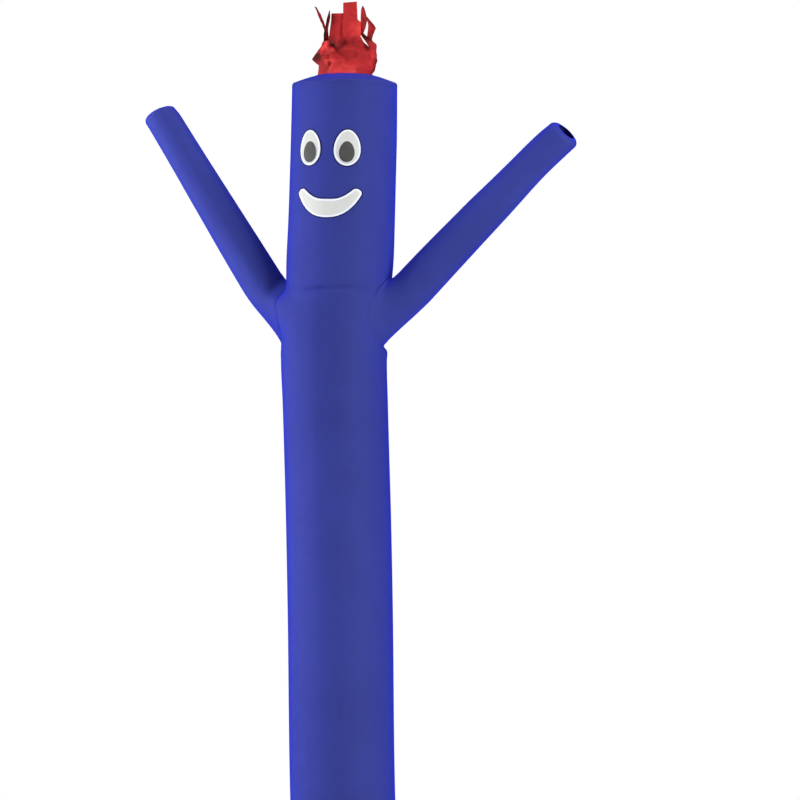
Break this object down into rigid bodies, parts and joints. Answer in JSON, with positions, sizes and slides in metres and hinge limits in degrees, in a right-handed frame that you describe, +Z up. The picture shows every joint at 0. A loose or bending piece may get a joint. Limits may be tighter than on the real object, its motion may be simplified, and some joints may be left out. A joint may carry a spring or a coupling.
{
  "type": "inflatable air dancer",
  "caption": "Tall cloth tube figure that a fan inflates, with two raised sleeve arms, a vented crown, red ribbon hair and a sewn-on smiling face.",
  "frame": {"origin": "centre of the hem's ring, on the surface that the dancer stands on", "axes": "+Z up along the tube; -Y the way the face looks; +X towards the dancer's left arm"},
  "size_m": [1.3029, 0.3288, 3.038],
  "materials": {
    "blue_ripstop": "thin woven nylon with a soft sheen, shaded by its folds",
    "red_ripstop": "thin woven nylon, crumpled, soft sheen",
    "white_patch": "white cloth, sewn on with a close zigzag edge",
    "grey_patch": "dark grey cloth, sewn on with a close zigzag edge"
  },
  "bodies": {
    "root": {"body_tube": "blue_ripstop", "head_tube": "blue_ripstop", "crown": "blue_ripstop", "arm_right": "blue_ripstop", "arm_left": "blue_ripstop", "hair": "red_ripstop", "eye_white_right": "white_patch", "eye_white_left": "white_patch", "mouth": "white_patch", "pupil_right": "grey_patch", "pupil_left": "grey_patch"}
  },
  "joints": []
}
